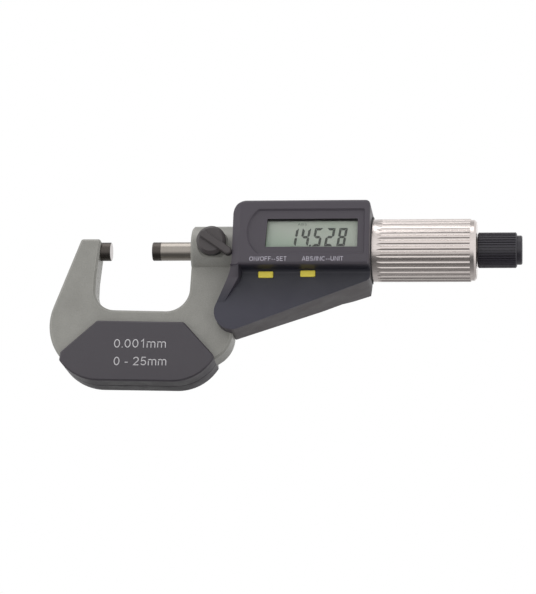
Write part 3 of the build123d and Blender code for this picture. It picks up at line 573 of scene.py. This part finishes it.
# ---- painted shadow: a black strip along the top edge of the display window ----
OPENING_LEFT, OPENING_RIGHT, OPENING_TOP = 55.5 * mm, 85.9 * mm, 6.75 * mm
SHADOW_STRIP_TALL = 0.45 * mm
# painted shadow: the strip stands in for the shade under the window's top wall
painted_shadow_ink = printed("painted_shadow_ink", (24, 23, 25))
build = bmesh.new()
corners = [
    (OPENING_LEFT, -SHADOW_STRIP_TALL),
    (OPENING_RIGHT, -SHADOW_STRIP_TALL),
    (OPENING_RIGHT, 0),
    (OPENING_LEFT, 0),
]
add_face(build, corners, 0, OPENING_TOP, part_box("display_window")[0][1])
flat_piece("window_top_shadow", finished("window_top_shadow", build), painted_shadow_ink, "frame")

# ---- the small mark above the digits ----
mark_label = {
    "base": 4.9 * mm,
    "cap": 0.85 * mm,
    "y": glass_y,
    "weight": 0.16,
    "material": faint_ink,
    "body": "frame",
    "slot": "display_grey",
}
lettering("mode_mark", "ABS", 65.6 * mm, 68.7 * mm, **mark_label)


# ---- stage: a pale floor, soft light and a white surround ----
# Each sky is a list of heights, from -1 straight down to 1 straight up, each with its brightness.
SKY = (
    (-1.0, 0.16), (-0.8, 0.10), (-0.6, 0.12), (-0.42, 0.45),
    (-0.2, 0.66), (0.3, 0.72), (0.7, 1.0), (1.0, 1.05),
)
MIRRORED_SKY = (
    (-1.0, 0.28), (-0.85, 0.16), (-0.66, 0.16), (-0.46, 0.75), (-0.25, 1.15),
    (0.4, 1.1), (0.75, 0.85), (0.95, 0.5), (1.0, 0.45),
)
LOW_BEHIND = 0.55
FLOOR_HALF = 2.5
FLOOR_DROP = 0.5 * mm


def stage_floor():
    """A pale floor under the object, clear from below, where the camera is, and not mirrored."""
    material = bpy.data.materials.new("stage_floor")
    material.use_nodes = True
    tree = material.node_tree
    shader = tree.nodes["Principled BSDF"]
    shader.inputs["Base Color"].default_value = (0.86, 0.86, 0.86, 1)
    shader.inputs["Roughness"].default_value = 0.6
    clear = tree.nodes.new("ShaderNodeBsdfTransparent")
    facing = tree.nodes.new("ShaderNodeNewGeometry").outputs["Backfacing"]
    blend = tree.nodes.new("ShaderNodeMixShader")
    tree.links.new(facing, blend.inputs["Fac"])
    tree.links.new(shader.outputs["BSDF"], blend.inputs[1])
    tree.links.new(clear.outputs["BSDF"], blend.inputs[2])
    tree.links.new(blend.outputs["Shader"], tree.nodes["Material Output"].inputs["Surface"])
    mesh = bpy.data.meshes.new("stage_floor")
    height = cad_low[2] - FLOOR_DROP
    turns = ((-1, -1), (1, -1), (1, 1), (-1, 1))
    mesh.from_pydata([(x * FLOOR_HALF, y * FLOOR_HALF, height) for x, y in turns], [], [(0, 1, 2, 3)])
    mesh.materials.append(material)
    floor = bpy.data.objects.new("stage_floor", mesh)
    bpy.context.scene.collection.objects.link(floor)
    floor.visible_glossy = False


def surround():
    """White to the camera; as light, brighter with height and dark low in front, fair low behind.

    Glossy surfaces mirror a sky of their own, brighter at the sides and dimmer overhead.
    """
    world = bpy.data.worlds.new("surround")
    world.use_nodes = True
    tree = world.node_tree
    lit = tree.nodes["Background"]
    seen = tree.nodes.new("ShaderNodeBackground")
    seen.inputs["Color"].default_value = (1, 1, 1, 1)
    direction = split(tree, tree.nodes.new("ShaderNodeTexCoord").outputs["Generated"])
    height = remap(tree, direction["Z"], -1.0, 1.0, 0.0, 1.0)

    def sky_bands(stops):
        """The brightness at this height, from a list of heights."""
        bands = tree.nodes.new("ShaderNodeValToRGB")
        while len(bands.color_ramp.elements) < len(stops):
            bands.color_ramp.elements.new(0.5)
        for element, (at, light) in zip(bands.color_ramp.elements, stops):
            element.position = (at + 1) / 2
            element.color = (light, light, light, 1)
        tree.links.new(height, bands.inputs["Fac"])
        return bands.outputs["Color"]

    rays = tree.nodes.new("ShaderNodeLightPath")
    bands = mix(tree, rays.outputs["Is Glossy Ray"], sky_bands(SKY), sky_bands(MIRRORED_SKY))
    behind = remap(tree, direction["Y"], 0.0, 0.5, 0.0, 1.0)
    low = remap(tree, direction["Z"], 0.1, -0.2, 0.0, 1.0)
    low_behind = combine(tree, "MULTIPLY", behind, low)
    glow = (LOW_BEHIND, LOW_BEHIND, LOW_BEHIND, 1)
    tree.links.new(mix(tree, low_behind, bands, glow), lit.inputs["Color"])
    blend = tree.nodes.new("ShaderNodeMixShader")
    tree.links.new(rays.outputs["Is Camera Ray"], blend.inputs["Fac"])
    tree.links.new(lit.outputs["Background"], blend.inputs[1])
    tree.links.new(seen.outputs["Background"], blend.inputs[2])
    tree.links.new(blend.outputs["Shader"], tree.nodes["World Output"].inputs["Surface"])
    bpy.context.scene.world = world


def softbox(name, place, aim, size, power):
    """A rectangular area light at place, turned to aim."""
    light = bpy.data.lights.new(name, "AREA")
    light.shape = "RECTANGLE"
    light.size, light.size_y = size
    light.energy = power
    lamp = bpy.data.objects.new(name, light)
    bpy.context.scene.collection.objects.link(lamp)
    lamp.location = place
    lamp.rotation_mode = "QUATERNION"
    lamp.rotation_quaternion = (Vector(aim) - Vector(place)).to_track_quat("-Z", "Y")


centre = (cad_low + cad_high) / 2
stage_floor()
surround()
LAMP_OFFSET = Vector((-0.15, -0.15, 0.6))
LAMP_SIZE = (0.5, 0.4)
LAMP_WATTS = 1.2
softbox("top_softbox", centre + LAMP_OFFSET, centre, LAMP_SIZE, LAMP_WATTS)

# ---- camera: a long lens, below the object and a little to its right ----
AIM = Vector((0.0529, 0.0136, -0.0123))
DISTANCE = 0.85
FOCAL_LENGTH = 149.4
SENSOR_WIDTH = 36
AZIMUTH = math.radians(7.346)
ELEVATION = math.radians(-16.158)
ROLL = math.radians(1.959)
back = Vector((
    math.sin(AZIMUTH) * math.cos(ELEVATION),
    -math.cos(AZIMUTH) * math.cos(ELEVATION),
    math.sin(ELEVATION),
))
level = Vector((math.cos(AZIMUTH), math.sin(AZIMUTH), 0))
upright = back.cross(level)
right = level * math.cos(ROLL) + upright * math.sin(ROLL)
up = upright * math.cos(ROLL) - level * math.sin(ROLL)
lens = bpy.data.cameras.new("camera")
lens.sensor_width = SENSOR_WIDTH
lens.lens = FOCAL_LENGTH
lens.clip_start, lens.clip_end = 0.01, 20
camera = bpy.data.objects.new("camera", lens)
bpy.context.scene.collection.objects.link(camera)
turned = Matrix((right, up, back)).transposed().to_4x4()
camera.matrix_world = Matrix.Translation(AIM + back * DISTANCE) @ turned
bpy.context.scene.camera = camera
bpy.context.scene.view_settings.view_transform = "Standard"
